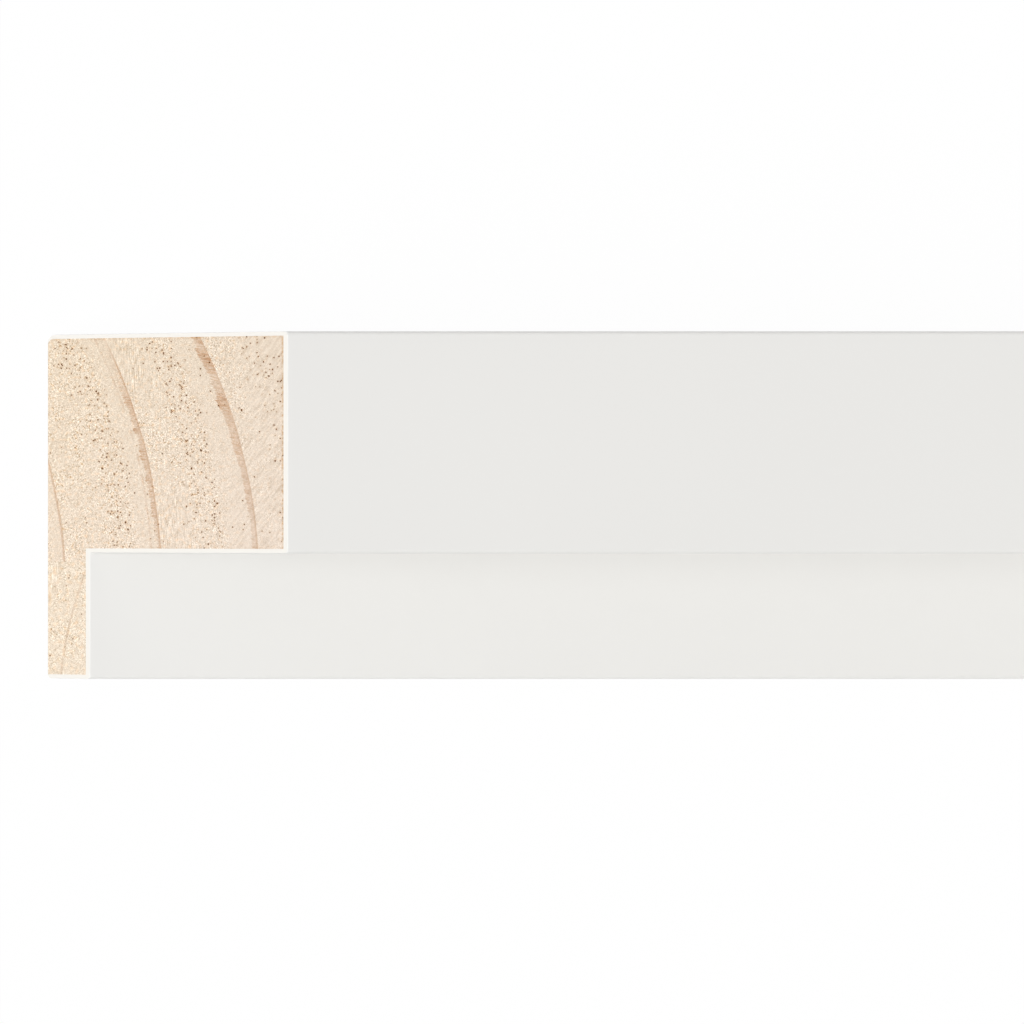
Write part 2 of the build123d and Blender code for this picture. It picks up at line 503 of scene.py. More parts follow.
def bare_pine(name, wood, look):
    """Sawn end grain of pine: matt, warm, ringed and speckled."""
    material, tree, shader = new_finish(name, {"Roughness": 0.8, "IOR": 1.5})
    place = add(tree, "ShaderNodeTexCoord").outputs["Object"]
    place = add(tree, "ShaderNodeVectorMath", {0: place, "Scale": MM}, operation="SCALE")
    year = growth(tree, place, wood)
    late = latewood(tree, year, look)
    tracks, clear = saw_tracks(tree, year["across"])
    speckle, loud = cut_tubes(tree, year, look, clear)

    # Stains: lacquer in spots, most of all in the dark band, and resin round its canals.
    soaked, seep = (
        add(tree, "ShaderNodeAttribute", attribute_name=mark).outputs["Fac"] for mark in ("soaked", "seep")
    )
    spots = {"Vector": year["across"], "Scale": 1 / SOAK_SPOT, "Detail": 1.0}
    uneven = add(tree, "ShaderNodeTexNoise", spots)
    uneven = add(
        tree,
        "ShaderNodeMapRange",
        {"Value": uneven, "From Min": DRY_FROM, "From Max": WET_FROM, "To Min": DRY, "To Max": WET},
    )
    thirst = add(tree, "ShaderNodeMapRange", {"Value": late, "To Min": 1.0, "To Max": THIRST})
    for factor in (uneven, thirst):
        soaked = add(tree, "ShaderNodeMath", {0: soaked, 1: factor}, operation="MULTIPLY")
    seep = add(tree, "ShaderNodeMath", {0: seep, 1: SEEP}, operation="MULTIPLY")

    # The pale wood from front to rear, with the dark band and then the stains laid over it.
    spot = add(tree, "ShaderNodeSeparateXYZ", {0: year["across"]}).outputs
    back = add(tree, "ShaderNodeMapRange", {"Value": spot["Y"], "From Min": glue_y, "From Max": rear_y})
    base = linear(look["spring_front"])
    for share, tone in ((back, "spring_rear"), (late, "autumn"), (soaked, "soak"), (seep, "seep")):
        base = add(
            tree, "ShaderNodeMix", {"Factor": share, 6: base, 7: linear(look[tone])}, data_type="RGBA"
        )

    # What moves red, green and blue by different shares: the speckle with the tracks, and two tints.
    scored = {0: tracks, 1: look["tracks"], 2: speckle}
    shade = add(tree, "ShaderNodeMath", scored, operation="MULTIPLY_ADD")
    scratch = add(
        tree,
        "ShaderNodeMapRange",
        {"Value": tracks, "From Min": SCRATCH_FROM, "From Max": SCRATCH_FULL, "To Max": SCRATCH},
    )
    shade = add(tree, "ShaderNodeMath", {0: shade, 1: scratch}, operation="SUBTRACT")
    height = add(
        tree,
        "ShaderNodeMapRange",
        {"Value": spot["Z"], "From Max": inner_z, "To Min": -0.5, "To Max": 0.5},
    )
    blush = add(
        tree, "ShaderNodeTexNoise", {"Vector": year["across"], "Scale": 1 / look["blush"], "Detail": 0.0}
    )
    blush = add(tree, "ShaderNodeMapRange", {"Value": blush, "From Min": BLUSH_FROM, "From Max": BLUSH_FULL})
    blush = add(tree, "ShaderNodeMath", {0: blush, 1: loud}, operation="MULTIPLY")
    change = (1, 1, 1)
    for tint, amount in ((SPECKLE_TINT, shade), (INNER_TINT, height), (BLUSH_TINT, blush)):
        moved = add(tree, "ShaderNodeVectorMath", {0: tint, "Scale": amount}, operation="SCALE")
        change = add(tree, "ShaderNodeVectorMath", {0: change, 1: moved}, operation="ADD")
    colour = add(tree, "ShaderNodeVectorMath", {0: base, 1: change}, operation="MULTIPLY")
    tree.links.new(colour.outputs[0], shader.inputs["Base Color"])

    bump = add(tree, "ShaderNodeBump", {"Height": tracks, "Distance": look["depth"] / MM})
    tree.links.new(bump.outputs[0], shader.inputs["Normal"])
    return material


# %% The two strips
block_look = {
    "spring_front": "#D9C9B8",
    "spring_rear": "#D6C6B2",
    "autumn": "#B48C69",
    "band": 1.0,  # mm, the width of the dark band in the year after the first ring
    "band_step": 0.4,  # mm wider each year
    "body_from": -0.5,  # years counted below this show only the solid edge
    "fray": 1.2,  # mm, the depth of the frayed edge
    "swell": 1.2,  # how far the width follows the noise along the ring
    "hatch": 0.4,  # the darkness left between the strokes
    "strand": 0.64,  # the darkness of the solid outer edge
    "steady": 1.0,  # of it is left in its faint stretches
    "false_ring": 0.6,
    "rise_from": 0.10,  # radians round the pith, where a ring is faint inside its strand
    "rise_to": 0.24,  # and where it has its full strength
    "rise_step": 0.07,  # radians further up each year
    "low_strength": 0.6,
    "fall_from": 0.335,  # where it fades again
    "fall_to": 0.40,
    "edge_to": 0.46,  # and its solid edge too
    "high_strength": 0.35,
    "main_year": 0.0,
    "other_years": 1.0,
    "bundle": 0.08,  # mm, a bundle of tubes
    "speckle": 0.65,
    "streaked_year": 1.0,
    "streak": 1.05,
    "mottle": 0.15,
    "blush": 0.45,  # mm, the size of a spot that is more orange or more pink
    "dense": 2.6,  # mm of quiet wood before the edge of the year
    "dense_step": 1.1,  # mm more each year
    "dense_speckle": 0.55,
    "soak": "#C09A72",  # the stain of lacquer
    "seep": "#BC9056",  # the stain of resin
    "tracks": 0.6,
    "depth": 0.03,  # mm
}
lip_look = {
    **block_look,
    "spring_front": "#DBCCBA",
    "spring_rear": "#DBCCBA",
    "autumn": "#B38F6B",
    "band": 0.36,
    "body_from": 9.0,
    "strand": 0.45,
    "steady": 0.3,
    "false_ring": 0.0,
    "high_strength": 1.0,
    "main_year": -1.0,
    "other_years": 0.25,
    "speckle": 0.57,
    "mottle": 0.3,
    "blush": 0.6,
    "dense": 0.2,
    "dense_step": 0.0,
    "dense_speckle": 0.8,
}
block_pine = bare_pine("sawn_pine_fast_grown", block_wood, block_look)
lip_pine = bare_pine("sawn_pine_slow_grown", lip_wood, lip_look)
print("materials", block_pine.name, "and", lip_pine.name)

# %% [markdown]
# ## Dried resin
# Pine is threaded with resin canals, and a saw cut opens them as pin holes with a brown lining of dried
# resin. It has gone dull with sawdust, so it hardly shines. The lining is painted darker than the resin
# alone, as painted shade inside the shallow pin holes.

# %% Dried resin
CANAL_PATCH = 0.6  # mm, canals this close together hold resin of one tone


def two_tones(tree, shader, size, dark, pale):
    """Let a finish wander between two colours, in patches of a size in mm, and return its place."""
    place = add(tree, "ShaderNodeTexCoord").outputs["Object"]
    patch = add(tree, "ShaderNodeTexNoise", {"Vector": place, "Scale": MM / size, "Detail": 2.0})
    tone = add(
        tree, "ShaderNodeMix", {"Factor": patch, 6: linear(dark), 7: linear(pale)}, data_type="RGBA"
    )
    tree.links.new(tone.outputs[2], shader.inputs["Base Color"])
    return place


# Dried resin, darkened further as painted shade inside the pin hole: dark brown and dull, so that a canal
# reads as a pin hole.
dull = {"Roughness": 0.6, "Specular IOR Level": 0.05}
resin, resin_tree, resin_shader = new_finish("dried_resin_and_pit_shade", dull)
two_tones(resin_tree, resin_shader, CANAL_PATCH, "#3C1E02", "#7A460A")
print("material", resin.name)


# %% [markdown]
# ## The white coat
# The coat is a satin white lacquer, sprayed on thick enough to hide the grain. From a hand's breadth
# away it looks flat. What tells it from a plain white shape is a very slight unevenness of tone, the
# faint orange peel that sprayed lacquer dries with, and a soft reflection at a low angle.

# %% White lacquer
CLOUD = 45.0  # mm, the size of the uneven tones
PEEL = 1.6  # mm from dimple to dimple of the orange peel
PEEL_DEPTH = 0.004  # mm


def white_lacquer():
    """Satin white lacquer: nearly flat, with a faint unevenness of the spray."""
    material, tree, shader = new_finish("satin_white_lacquer", {"Roughness": 0.42, "IOR": 1.5})
    spot = two_tones(tree, shader, CLOUD, "#E6E5E2", "#E9E8E5")
    peel = add(tree, "ShaderNodeTexNoise", {"Vector": spot, "Scale": MM / PEEL, "Detail": 1.0})
    bump = add(tree, "ShaderNodeBump", {"Height": peel, "Distance": PEEL_DEPTH / MM})
    tree.links.new(bump.outputs[0], shader.inputs["Normal"])
    return material


lacquer = white_lacquer()

# The same film sawn through: matt, without the peel, and a little creamier than its skin.
film, _, _ = new_finish("sawn_lacquer_film", {"Base Color": linear("#E3E0DA"), "Roughness": 0.7})
print("materials", lacquer.name, "and", film.name)


# %% [markdown]
# ## A section run along the stock
# A moulding is the plainest rule-made shape there is: one section, run along a line and sawn off.
# It could be a curve with a bevel, but a bevel can't be sawn at a slant. A node tree can follow the
# whole rule. It takes a flat section, pushes it along the stock, closes the start with a flipped
# copy, and then slides the points of the start along the stock by their height, which turns a
# square end into a mitre. The coat and both strips of pine share these steps.

# %% Running, sawing and scaling a section
WELD = 0.0005  # mm
ON_END = 0.6  # a face whose normal has this much X is on a sawn end


def run_along(tree, section, run):
    """Nodes that push a section lying in X-Y along the stock and close it, still square at the start."""
    flat = add(tree, "ShaderNodeSeparateXYZ", {0: add(tree, "GeometryNodeInputPosition")})
    stood = add(tree, "ShaderNodeCombineXYZ", {"Y": flat.outputs["X"], "Z": flat.outputs["Y"]})
    start = add(tree, "GeometryNodeSetPosition", {"Geometry": section, "Position": stood})
    push = add(tree, "ShaderNodeCombineXYZ", {"X": run})
    pushed = add(
        tree,
        "GeometryNodeExtrudeMesh",
        {"Mesh": start, "Offset": push, "Offset Scale": 1.0, "Individual": False},
        mode="FACES",
    )
    flipped = add(tree, "GeometryNodeFlipFaces", {"Mesh": start})
    both = add(tree, "GeometryNodeJoinGeometry", {0: pushed})
    tree.links.new(flipped.outputs[0], both.inputs[0])
    return add(tree, "GeometryNodeMergeByDistance", {"Geometry": both, "Distance": WELD})


def cut_mitre(tree, solid, run, slope, sunk):
    """Nodes that slide the start along the stock by its height, and sink both ends by a depth."""
    part = add(tree, "ShaderNodeSeparateXYZ", {0: add(tree, "GeometryNodeInputPosition")})
    half = add(tree, "ShaderNodeMath", {0: run, 1: 0.5}, operation="MULTIPLY")
    at_start = add(tree, "ShaderNodeMath", {0: part.outputs["X"], 1: half}, operation="LESS_THAN")
    slide = add(tree, "ShaderNodeMath", {0: part.outputs["Z"], 1: slope, 2: sunk}, operation="MULTIPLY_ADD")
    back = add(tree, "ShaderNodeMath", {0: sunk, 1: -1.0}, operation="MULTIPLY")
    moved = add(tree, "ShaderNodeMix", {"Factor": at_start, 2: back, 3: slide}, data_type="FLOAT")
    offset = add(tree, "ShaderNodeCombineXYZ", {"X": moved})
    return add(tree, "GeometryNodeSetPosition", {"Geometry": solid, "Offset": offset})


def sawn_faces(tree):
    """Nodes for the X of each face's normal, and for whether the face lies on a sawn end."""
    facing = add(tree, "ShaderNodeSeparateXYZ", {0: add(tree, "GeometryNodeInputNormal")}).outputs["X"]
    turned = add(tree, "ShaderNodeMath", {0: facing}, operation="ABSOLUTE")
    return facing, add(tree, "ShaderNodeMath", {0: turned, 1: ON_END}, operation="GREATER_THAN")


def to_metres(tree, solid):
    """Nodes that move the tip to its place and scale millimetres to metres."""
    place = add(tree, "GeometryNodeInputPosition")
    moved = add(tree, "ShaderNodeVectorMath", {0: place, 1: (tip_x, 0, 0)}, operation="ADD")
    small = add(tree, "ShaderNodeVectorMath", {0: moved, "Scale": 1 / MM}, operation="SCALE")
    return add(tree, "GeometryNodeSetPosition", {"Geometry": solid, "Position": small})


# %% Starting a tree, and making a piece with it
def new_tree(name, floats, integers, materials):
    """An empty geometry tree with a geometry in and out and the named inputs, and its inputs' sockets."""
    tree = bpy.data.node_groups.new(name, "GeometryNodeTree")
    tree.interface.new_socket("Geometry", in_out="INPUT", socket_type="NodeSocketGeometry")
    for kind, labels in (("Float", floats), ("Int", integers), ("Material", materials)):
        for label in labels:
            tree.interface.new_socket(label, in_out="INPUT", socket_type="NodeSocket" + kind)
    tree.interface.new_socket("Geometry", in_out="OUTPUT", socket_type="NodeSocketGeometry")
    return tree, add(tree, "NodeGroupInput").outputs


def made_by(tree, name, sheet, values):
    """A plain mesh piece from a starting sheet and a tree, with the tree's inputs set by name."""
    piece = bpy.data.objects.new(name, sheet)
    bpy.context.scene.collection.objects.link(piece)
    modifier = piece.modifiers.new(tree.name, "NODES")
    modifier.node_group = tree
    for item in tree.interface.items_tree:
        if item.in_out == "INPUT" and item.name in values:
            modifier[item.identifier] = values[item.name]
    graph = bpy.context.evaluated_depsgraph_get()
    shown = piece.evaluated_get(graph)
    mesh = bpy.data.meshes.new_from_object(shown, preserve_all_data_layers=True, depsgraph=graph)
    piece.modifiers.remove(modifier)
    piece.data = mesh
    mesh.name = name
    print(name, len(mesh.polygons), "faces")
    return piece


# %% [markdown]
# ## The coat as a piece
# The saw cut lays the film open, and it shows as a white rim half a millimetre wide round the bare
# pine. So the coat is a piece of its own: a tube with an L-shaped outline outside and another inside.
# An outline is only its six corners, each rounded by an arc. Between the two lies a third, where the
# film's sawn edge begins to be blunt: there the outside is set back a little along the stock. On the
# outer side the film is too thin to see on the cut.

# %% Outlines of the coat
COAT = 0.55  # mm, the film as the cut shows it
OUTER_COAT = 0.03  # mm, on the outer side
WORN_IN = 0.03  # mm in from the face, where the sawn edge of the film begins to be worn
WORN_BACK = 0.08  # mm that the face itself is worn back along the stock
LIP_OUTER_EASE = 0.5  # mm, the radii of the sanded edges
REAR_OUTER_EASE = 1.0
REAR_INNER_EASE = 0.5
LEDGE_EASE = 0.4
LIP_INNER_EASE = 0.4
COVE = 0.3  # mm, where lacquer pools in the inside corner
WOOD_CORNER = 0.8  # mm, the rear outer edge of the wood, the only one that isn't sharp
ARC_STEPS = 6
coat_eases = (LIP_OUTER_EASE, REAR_OUTER_EASE, REAR_INNER_EASE, LEDGE_EASE, COVE, LIP_INNER_EASE)
wood_eases = (0.0, WOOD_CORNER, 0.0, 0.0, 0.0, 0.0)


def outline(skin, outer_skin, eases):
    """Points round the L, a skin's depth inside its faces, with each corner eased by its own radius."""
    corners = [
        Vector((front_y + skin, outer_skin)),
        Vector((rear_y - skin, outer_skin)),
        Vector((rear_y - skin, inner_z - skin)),
        Vector((ledge_y + skin, inner_z - skin)),
        Vector((ledge_y + skin, lip_z - skin)),
        Vector((front_y + skin, lip_z - skin)),
    ]
    points = []
    for n, (corner, ease) in enumerate(zip(corners, eases)):
        back = (corners[n - 1] - corner).normalized() * ease
        ahead = (corners[(n + 1) % len(corners)] - corner).normalized() * ease
        for turn in np.linspace(0, pi / 2, ARC_STEPS + 1):
            points.append(corner + back * (1 - sin(turn)) + ahead * (1 - cos(turn)))
    return points


def coat_sheet(outside, worn, inside):
    """A flat mesh in X-Y between three outlines, with the outside marked by how far it is set back."""
    count = len(outside)
    points = outside + worn + inside
    faces = []
    for first in (0, count):
        for n in range(count):
            after = (n + 1) % count
            faces.append((first + n, first + after, first + count + after, first + count + n))
    mesh = bpy.data.meshes.new("coat_section")
    mesh.from_pydata([(point.x, point.y, 0) for point in points], [], faces)
    blunt = mesh.attributes.new("blunt", "FLOAT", "POINT")
    worn_back = [WORN_BACK * min(1.0, point.y / REAR_OUTER_EASE) for point in outside]
    blunt.data.foreach_set("value", worn_back + [0.0] * (2 * count))
    return mesh


# %% The coat
coat_tree, ends = new_tree(
    "Coat along the stock", ("Length", "Mitre slope"), (), ("Lacquer", "Sawn film")
)
blunt = add(coat_tree, "GeometryNodeInputNamedAttribute", {"Name": "blunt"}, data_type="FLOAT")
solid = run_along(coat_tree, ends["Geometry"], ends["Length"])
solid = cut_mitre(coat_tree, solid, ends["Length"], ends["Mitre slope"], blunt)
solid = to_metres(coat_tree, solid)
solid = add(coat_tree, "GeometryNodeRealizeInstances", {"Geometry": solid})
solid = add(coat_tree, "GeometryNodeSetMaterial", {"Geometry": solid, "Material": ends["Lacquer"]})
_, sawn = sawn_faces(coat_tree)
solid = add(
    coat_tree,
    "GeometryNodeSetMaterial",
    {"Geometry": solid, "Selection": sawn, "Material": ends["Sawn film"]},
)
add(coat_tree, "NodeGroupOutput", {"Geometry": solid})

stock = {"Length": length, "Mitre slope": mitre_slope}
white_coat = made_by(
    coat_tree,
    "white_coat",
    coat_sheet(
        outline(0.0, 0.0, coat_eases),
        outline(WORN_IN, OUTER_COAT / 2, coat_eases),
        outline(COAT, OUTER_COAT, wood_eases),
    ),
    {**stock, "Lacquer": lacquer, "Sawn film": film},
)


# %% [markdown]
# ## The sheets of end grain
# The pine needs more points than the coat, because its ends carry relief and pin holes. Each strip
# starts as a flat grid over its section, with cells about as wide as a resin canal. Two marks go
# with the points: how free they are to move, which is 0 on the rim so that the pieces still meet,
# and where the lacquer has soaked in. A little disorder keeps the pin holes from lining up in rows.
# The one rounded edge of the wood is bent into the grid rather than cut out of it.

# %% Grids over the two sections
CELL = 0.17  # mm, the side of a face on the sawn ends
DISORDER = 0.28  # of a cell
SOAK_DEPTH = 0.35  # mm that the lacquer has soaked into the wood
SOAKED_INNER, SOAKED_REAR, SOAKED_LEDGE = 0.9, 0.4, 0.2  # stain beside the film of these faces
DISORDER_SEED = 3
disorder = np.random.default_rng(DISORDER_SEED)


def steps(*stops):
    """Evenly spaced places from stop to stop, about a cell apart, with every stop among them."""
    runs = [np.linspace(a, b, max(1, round((b - a) / CELL)) + 1)[:-1] for a, b in zip(stops, stops[1:])]
    return np.concatenate([*runs, stops[-1:]])


def section_sheet(name, ys, zs, keep):
    """A flat grid in X-Y over the part of a section that keep says, with its two marks."""
    columns = len(ys)
    grid_y, grid_z = np.meshgrid(ys, zs)
    middle_y = (grid_y[:-1, :-1] + grid_y[1:, 1:]) / 2
    middle_z = (grid_z[:-1, :-1] + grid_z[1:, 1:]) / 2
    row, column = np.nonzero(keep(middle_y, middle_z))
    corner = row * columns + column
    faces = np.stack([corner, corner + 1, corner + columns + 1, corner + columns], 1)
    used, faces = np.unique(faces, return_inverse=True)
    faces = faces.reshape(-1, 4)
    y, z = grid_y.ravel()[used], grid_z.ravel()[used]
    free = np.bincount(faces.ravel(), minlength=len(y)) == 4
    soaked = np.zeros(len(y))
    for stain, distance in (
        (SOAKED_INNER, inner_z - COAT - z),
        (SOAKED_REAR, rear_y - COAT - y),
        (SOAKED_LEDGE, np.where(z > lip_z - COAT, y - ledge_y - COAT, SOAK_DEPTH)),
    ):
        soaked = np.maximum(soaked, stain * np.clip(1 - distance / SOAK_DEPTH, 0, 1))
    y = y + free * disorder.uniform(-DISORDER, DISORDER, len(y)) * CELL
    z = z + free * disorder.uniform(-DISORDER, DISORDER, len(z)) * CELL

    # The rear outer corner: each square shell round the arc's middle becomes an arc.
    past_y = np.maximum(y - (rear_y - COAT - WOOD_CORNER), 0)
    past_z = np.maximum(OUTER_COAT + WOOD_CORNER - z, 0)
    in_corner = (past_y > 0) & (past_z > 0)
    reach = np.maximum(np.hypot(past_y, past_z), WELD)
    pull = np.where(in_corner, np.maximum(past_y, past_z) / reach, 1) - 1
    y = y + past_y * pull
    z = z - past_z * pull
    mesh = bpy.data.meshes.new(name)
    mesh.from_pydata(np.stack([y, z, 0 * y], 1).tolist(), [], faces.tolist())
    for label, mark in (("free", free), ("soaked", soaked)):
        attribute = mesh.attributes.new(label, "FLOAT", "POINT")
        attribute.data.foreach_set("value", mark.astype(np.float32))
    print(name, len(faces), "faces")
    return mesh


block_sheet = section_sheet(
    "block_section",
    steps(glue_y, ledge_y + COAT, rear_y - COAT),
    steps(OUTER_COAT, lip_z - COAT, inner_z - COAT),
    lambda y, z: (y > ledge_y + COAT) | (z < lip_z - COAT),
)
lip_sheet = section_sheet(
    "lip_section",
    steps(front_y + COAT, glue_y),
    steps(OUTER_COAT, lip_z - COAT),
    lambda y, z: y < glue_y,
)


# %% [markdown]
# ## The pine strips as pieces
# A saw presses the soft earlywood down more than the hard latewood, so the ends get a relief of a few
# hundredths of a millimetre, and the tracks of the saw are cut into it. Resin canals lie in a belt in
# the middle of each year. They are single faces, picked at random and more often in the belt, pushed
# inwards and given the dark resin, which is partly painted shade inside the pit, and a mark on the points
# round them says where resin has seeped into the wood. A boolean could drill them, but hundreds of cuts
# are slow and leave messy meshes.

# %% The tree for a strip of pine
CANAL_RANGE = (0.37, 1.0)  # the smallest and largest canal, in cells
CANAL_FLOOR = 0.6  # a canal narrows to this at its floor
BELT_HALF = 0.10  # of a year, the half width of the belt of canals
BELT_FADE = 0.19  # of a year, where only strays are left
STRAYS = 0.09  # canals outside the belt, against those in it
CLUMP = 4.0  # mm, canals come in loose clumps
SPARSE_FROM, THICK_FROM = 0.4, 0.6  # of the clumps' noise, the emptiest and the fullest
SPARSE, THICK = 0.8, 1.2  # how many canals are there, against the mean
HARD_RELIEF = 0.25  # how far the latewood is pressed down, against the earlywood
TRACK_RELIEF = 0.5  # how deep the tracks are, against the relief


def pine_tree(name, wood, look):
    """A geometry tree for one strip: run, sawn, with relief on the ends and resin canals cut open."""
    stick = ("Length", "Mitre slope", "Relief")
    canals = ("Canal share", "Canal depth", "Canal belt", "Belt shift", "First year")
    tree, ends = new_tree(name, stick + canals, ("Seed",), ("Pine", "Resin"))
    solid = run_along(tree, ends["Geometry"], ends["Length"])
    year = growth(tree, add(tree, "GeometryNodeInputPosition"), wood)
    free = add(tree, "GeometryNodeInputNamedAttribute", {"Name": "free"}, data_type="FLOAT")

    # Relief: the earlywood pressed down, and the tracks of the saw.
    band = look["band"]
    soft = add(
        tree,
        "ShaderNodeMapRange",
        {"Value": year["inside"], "From Min": band / 2, "From Max": band, "To Min": HARD_RELIEF},
    )
    torn = add(tree, "ShaderNodeTexNoise", {"Vector": year["across"], "Scale": 1 / MOTTLE, "Detail": 3.0})
    pressed = add(tree, "ShaderNodeMath", {0: soft, 1: torn}, operation="MULTIPLY")
    tracks, _ = saw_tracks(tree, year["across"])
    tracks = add(tree, "ShaderNodeMath", {0: tracks, 1: TRACK_RELIEF}, operation="MULTIPLY")
    pressed = add(tree, "ShaderNodeMath", {0: pressed, 1: tracks}, operation="SUBTRACT")
    pressed = add(tree, "ShaderNodeMath", {0: pressed, 1: 0.0}, operation="MAXIMUM")
    depth = add(tree, "ShaderNodeMath", {0: free, 1: ends["Relief"]}, operation="MULTIPLY")
    sunk = add(tree, "ShaderNodeMath", {0: pressed, 1: depth}, operation="MULTIPLY")
    solid = cut_mitre(tree, solid, ends["Length"], ends["Mitre slope"], sunk)
    solid = add(tree, "GeometryNodeSetMaterial", {"Geometry": solid, "Material": ends["Pine"]})

    # Which faces are canals: random ones on the ends, mostly in the belt of their year.
    facing, on_end = sawn_faces(tree)
    past_first = add(tree, "ShaderNodeMath", {0: year["count"], 1: 1.0}, operation="MINIMUM")
    belt = add(
        tree,
        "ShaderNodeMath",
        {0: past_first, 1: ends["Belt shift"], 2: ends["Canal belt"]},
        operation="MULTIPLY_ADD",
    )
    away = add(tree, "ShaderNodeMath", {0: year["share"], 1: belt}, operation="SUBTRACT")
    away = add(tree, "ShaderNodeMath", {0: away}, operation="ABSOLUTE")
    likely = add(
        tree,
        "ShaderNodeMapRange",
        {"Value": away, "From Min": BELT_FADE, "From Max": BELT_HALF, "To Min": STRAYS},
    )
    clump = add(tree, "ShaderNodeTexNoise", {"Vector": year["across"], "Scale": 1 / CLUMP, "Detail": 0.0})
    clump = add(
        tree,
        "ShaderNodeMapRange",
        {"Value": clump, "From Min": SPARSE_FROM, "From Max": THICK_FROM, "To Min": SPARSE, "To Max": THICK},
    )
    begun = add(
        tree, "ShaderNodeMath", {0: year["count"], 1: ends["First year"]}, operation="GREATER_THAN"
    )
    for factor in (clump, begun, ends["Canal share"], on_end, free):
        likely = add(tree, "ShaderNodeMath", {0: likely, 1: factor}, operation="MULTIPLY")
    canal = add(
        tree, "FunctionNodeRandomValue", {"Probability": likely, "Seed": ends["Seed"]}, data_type="BOOLEAN"
    )

    # Resin has seeped into the wood round each canal: the mark fades out one cell away from it.
    seep = add(tree, "GeometryNodeFieldOnDomain", {0: canal}, domain="FACE", data_type="FLOAT")
    solid = add(
        tree,
        "GeometryNodeStoreNamedAttribute",
        {"Geometry": solid, "Name": "seep", "Value": seep},
        domain="POINT",
        data_type="FLOAT",
    )

    # Each canal gets a width of its own, and is pushed in to a narrower floor.
    least, most = CANAL_RANGE
    width = add(
        tree, "FunctionNodeRandomValue", {2: least, 3: most, "Seed": ends["Seed"]}, data_type="FLOAT"
    )
    mouths = add(
        tree,
        "GeometryNodeScaleElements",
        {"Geometry": solid, "Selection": canal, "Scale": width},
        domain="FACE",
    )
    outward = add(tree, "ShaderNodeMath", {0: facing}, operation="SIGN")
    push = add(tree, "ShaderNodeMath", {0: outward, 1: ends["Canal depth"]}, operation="MULTIPLY")
    push = add(tree, "ShaderNodeCombineXYZ", {"X": push})
    pits = add(
        tree,
        "GeometryNodeExtrudeMesh",
        {"Mesh": mouths, "Selection": canal, "Offset": push, "Offset Scale": -1.0, "Individual": True},
        mode="FACES",
    )
    floors = add(
        tree,
        "GeometryNodeScaleElements",
        {"Geometry": pits, "Selection": pits.outputs["Top"], "Scale": CANAL_FLOOR},
        domain="FACE",
    )
    # The walls and floor of each pit take the dark resin, which is partly painted shade inside the pit.
    lining = add(
        tree, "FunctionNodeBooleanMath", {0: pits.outputs["Top"], 1: pits.outputs["Side"]}, operation="OR"
    )
    solid = to_metres(tree, floors)
    solid = add(tree, "GeometryNodeRealizeInstances", {"Geometry": solid})
    solid = add(
        tree,
        "GeometryNodeSetMaterial",
        {"Geometry": solid, "Selection": lining, "Material": ends["Resin"]},
    )
    add(tree, "NodeGroupOutput", {"Geometry": solid})
    return tree


# %% The two strips of pine
block_values = {
    **stock,
    "Relief": 0.03,  # mm
    "Canal share": 0.051,  # of the faces in the belt
    "Canal depth": 0.1,  # mm
    "Canal belt": 0.63,  # of a year, in the year after the first ring
    "Belt shift": -0.12,  # the belt came earlier in later years
    "First year": -0.5,  # years counted below this have no canals
    "Seed": 5,
    "Pine": block_pine,
    "Resin": resin,
}
lip_values = {
    **block_values,
    "Canal share": 0.012,
    "Belt shift": 0.0,
    "First year": -5.0,
    "Seed": 8,
    "Pine": lip_pine,
}
ledge_block_pine = made_by(
    pine_tree("Sawn block", block_wood, block_look), "ledge_block_pine", block_sheet, block_values
)
lip_strip_pine = made_by(pine_tree("Sawn lip", lip_wood, lip_look), "lip_strip_pine", lip_sheet, lip_values)


# %% [markdown]
# ## A map for baked finishes
# An exported model can't carry node materials, so they are baked to pictures, and those need a UV
# map. A stick 2.4 m long with its whole finish at the two ends would waste nearly all of an even map.
# Here the mitre gets most of the map, the square end a smaller part, and each long face a narrow
# strip, as wide as its share of the way round the section.

# %% UV maps that favour the sawn ends
MARGIN = 0.01  # of the map, left free round it
SPLIT_U = 0.70  # the mitre lies left of this, the square end right of it
SPLIT_V = 0.30  # the long faces lie below this
NEAR_END = 1.0  # mm, a face whose middle is closer to an end lies on it


